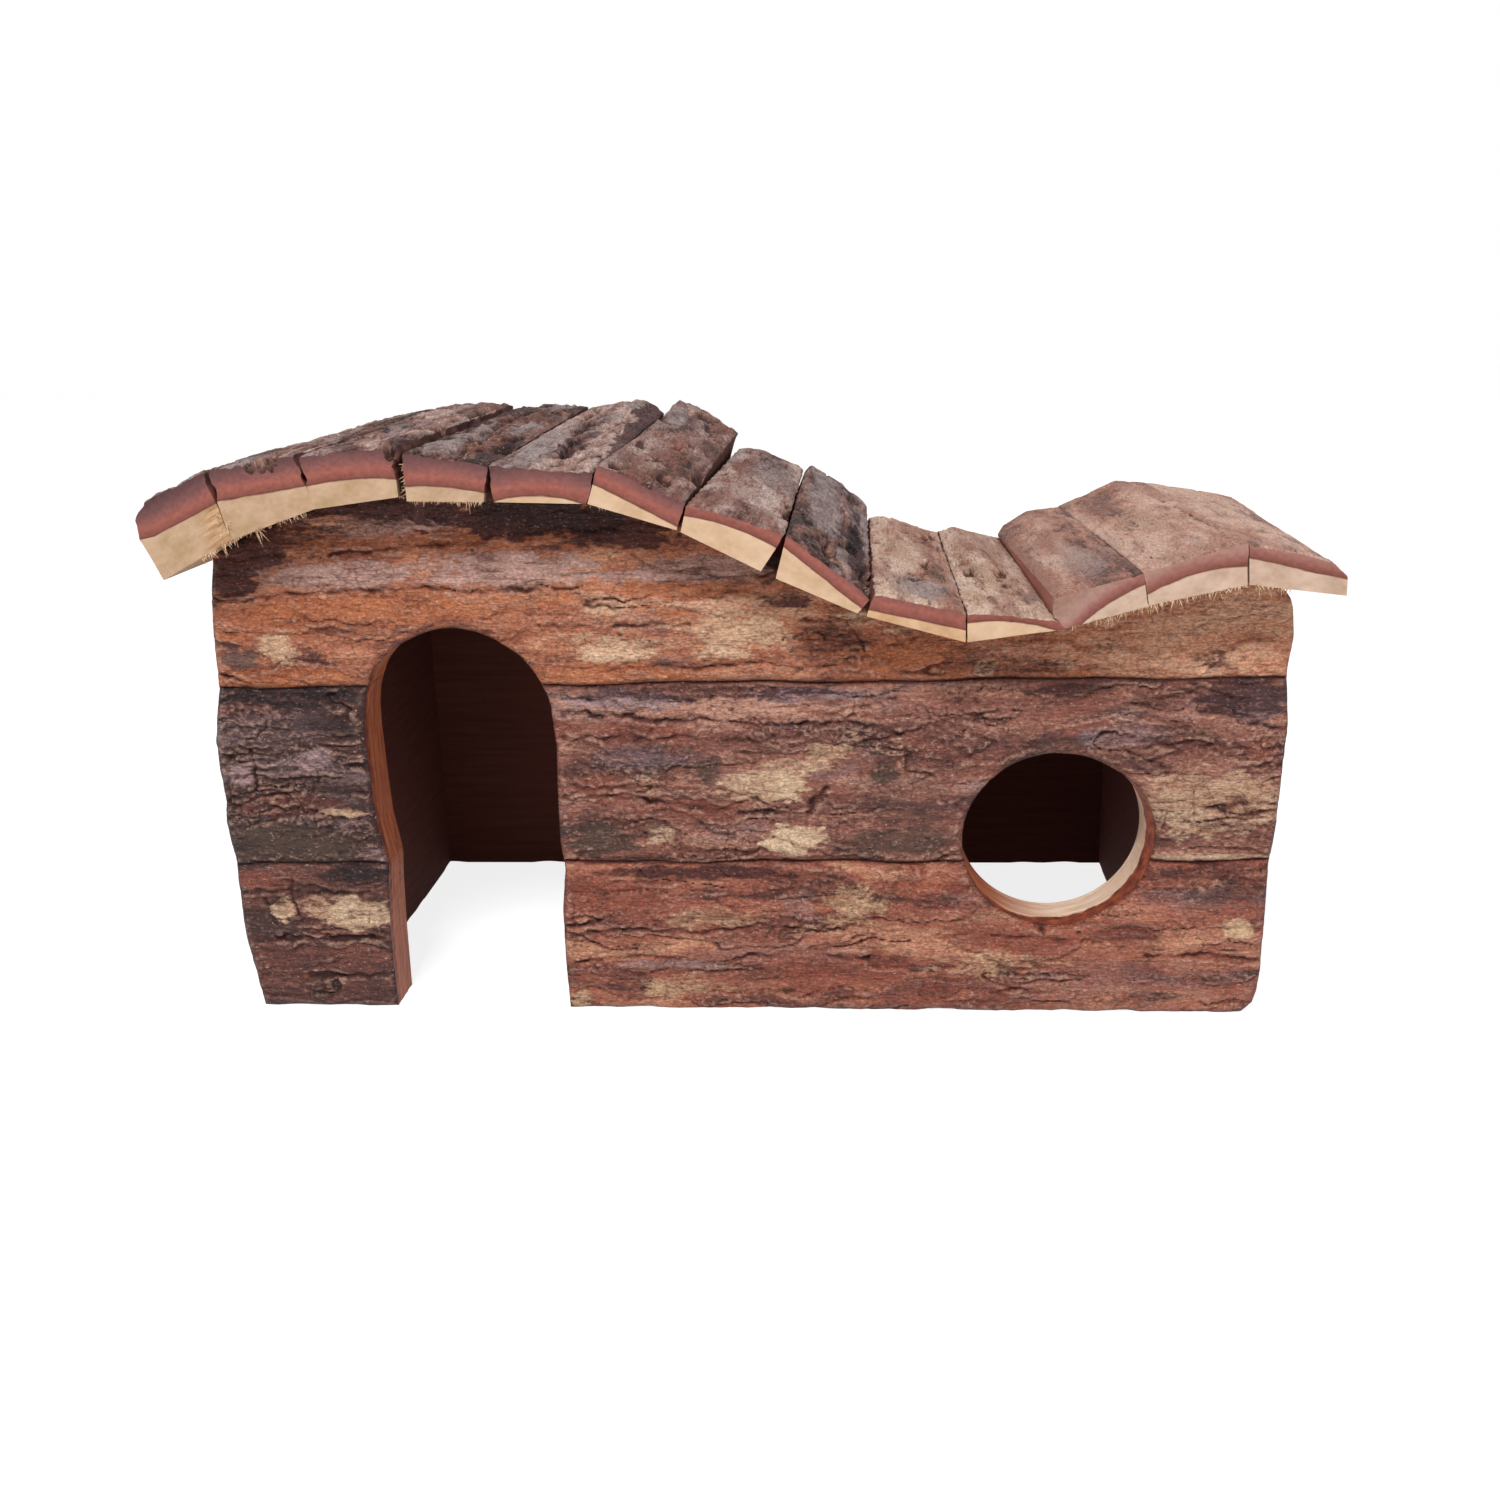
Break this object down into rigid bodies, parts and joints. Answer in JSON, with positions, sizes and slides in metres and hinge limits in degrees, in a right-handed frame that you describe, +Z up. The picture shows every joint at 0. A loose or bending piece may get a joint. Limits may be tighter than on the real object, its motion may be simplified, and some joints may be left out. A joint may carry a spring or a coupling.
{
  "type": "small animal house",
  "caption": "Wooden small-animal house of bark-covered slab planks, with an arched doorway, a round window, an open base and a wavy roof of slats laid side by side.",
  "frame": {"origin": "middle of the object's bounding box at the level it stands on", "axes": "+X to the right along the front wall as it is seen, +Y from the front wall to the back wall, +Z up"},
  "size_m": [0.2602, 0.124, 0.1386],
  "materials": {
    "roof_slab_wood": "rough bark over sawn wood",
    "front_slab_wood": "rough bark over sawn wood",
    "back_slab_wood": "rough bark over sawn wood",
    "side_slab_wood": "rough bark over sawn wood",
    "pin_steel": "bright drawn wire"
  },
  "bodies": {
    "root": {"roof_slat_01": "roof_slab_wood", "roof_slat_02": "roof_slab_wood", "roof_slat_03": "roof_slab_wood", "roof_slat_04": "roof_slab_wood", "roof_slat_05": "roof_slab_wood", "roof_slat_06": "roof_slab_wood", "roof_slat_07": "roof_slab_wood", "roof_slat_08": "roof_slab_wood", "roof_slat_09": "roof_slab_wood", "roof_slat_10": "roof_slab_wood", "roof_slat_11": "roof_slab_wood", "roof_slat_12": "roof_slab_wood", "roof_slat_13": "roof_slab_wood", "front_lower_plank_left": "front_slab_wood", "front_lower_plank_right": "front_slab_wood", "front_middle_plank_left": "front_slab_wood", "front_middle_plank_right": "front_slab_wood", "front_upper_plank": "front_slab_wood", "back_lower_plank": "back_slab_wood", "back_middle_plank": "back_slab_wood", "back_upper_plank": "back_slab_wood", "left_side_lower_plank": "side_slab_wood", "left_side_middle_plank": "side_slab_wood", "left_side_upper_plank": "side_slab_wood", "right_side_lower_plank": "side_slab_wood", "right_side_middle_plank": "side_slab_wood", "right_side_upper_plank": "side_slab_wood", "roof_pins": "pin_steel", "wall_pins": "pin_steel"}
  },
  "joints": []
}
